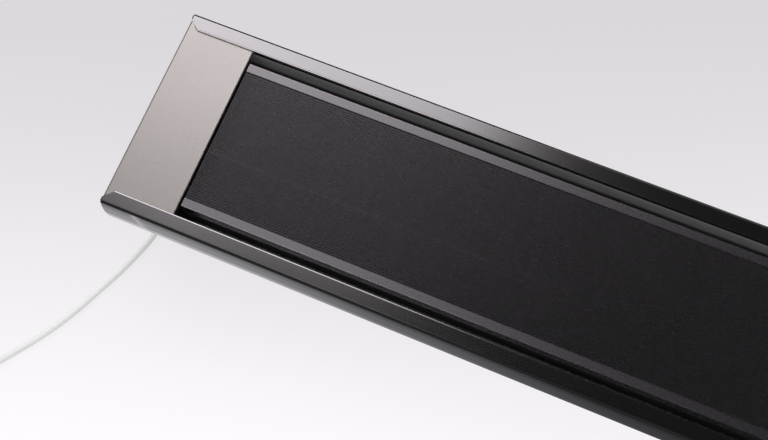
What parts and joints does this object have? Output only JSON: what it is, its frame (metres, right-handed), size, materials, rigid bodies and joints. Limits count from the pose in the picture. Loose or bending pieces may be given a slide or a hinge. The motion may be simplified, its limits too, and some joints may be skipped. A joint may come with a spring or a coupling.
{
  "type": "infrared patio heater",
  "caption": "Long strip heater with a dark textured radiant panel between bright side rails and satin end caps, on tilting brackets, with a white flex.",
  "frame": {"origin": "centre of the bottom of the box of everything but the flex: on the wall or floor plane, midway between the two wall brackets", "axes": "+X along the heater away from its cord end, +Y across it, +Z out of the wall, the way the radiant panel faces at rest"},
  "size_m": [1.203, 0.4163, 0.132],
  "materials": {
    "rail_aluminium": "polished",
    "cap_satin": "fine brushed satin",
    "panel_dark": "dark anodised, pyramid texture",
    "seal_black": "matte",
    "sheet_aluminium": "mill finish",
    "bracket_steel": "satin grey powder coat",
    "fastener_steel": "zinc plated",
    "element_sheath": "heat darkened",
    "ceramic": "unglazed ceramic",
    "mineral_wool": "dark fleece-faced mineral wool board",
    "dark_plastic": "moulded",
    "cord_white": "smooth white sheath",
    "plug_white": "moulded",
    "contact_nickel": "nickel plated",
    "lead_silicone": "silicone glass sleeve",
    "tie_grey": "hook and loop strap"
  },
  "bodies": {
    "mount": {"base_bracket_left": "bracket_steel", "base_bracket_right": "bracket_steel", "pivot_bolts": "fastener_steel", "pivot_nuts": "fastener_steel", "pivot_washers": "dark_plastic", "cord_run": "cord_white", "cord_coil": "cord_white", "cord_tail": "cord_white", "cord_tie": "tie_grey", "plug_body": "plug_white", "plug_pins": "contact_nickel", "plug_earth_clips": "contact_nickel"},
    "heater": {"rail_upper": "rail_aluminium", "rail_lower": "rail_aluminium", "seal_upper": "seal_black", "seal_lower": "seal_black", "rail_plugs": "rail_aluminium", "rail_plug_screws": "fastener_steel", "end_cap_left": "cap_satin", "end_cap_right": "cap_satin", "end_cap_screws": "fastener_steel", "radiant_panel": "panel_dark", "element_upper": "element_sheath", "element_lower": "element_sheath", "element_terminals": "ceramic", "element_link": "fastener_steel", "clamp_bars": "sheet_aluminium", "clamp_screws": "fastener_steel", "standoffs": "ceramic", "insulation_board": "mineral_wool", "reflector_tray": "panel_dark", "end_stay_left": "sheet_aluminium", "end_stay_right": "sheet_aluminium", "rear_cover": "sheet_aluminium", "cover_screws": "fastener_steel", "terminal_box": "sheet_aluminium", "box_gasket": "seal_black", "box_lid": "sheet_aluminium", "box_lid_screws": "fastener_steel", "box_mount_screws": "fastener_steel", "gland_body": "dark_plastic", "gland_locknut": "dark_plastic", "gland_dome_nut": "dark_plastic", "bend_protector": "cord_white", "terminal_block": "ceramic", "thermal_cutout": "dark_plastic", "earth_stud": "fastener_steel", "lead_grommets": "seal_black", "inner_leads": "lead_silicone", "supply_sheath": "cord_white", "heater_bracket_left": "bracket_steel", "heater_bracket_right": "bracket_steel", "t_bolts": "fastener_steel", "t_nuts": "fastener_steel"}
  },
  "joints": [
    {"name": "tilt", "type": "hinge", "parent": "mount", "child": "heater", "pos_m": [0, 0, 0.062], "axis": [1, 0, 0], "range_deg": [-45, 45]}
  ]
}
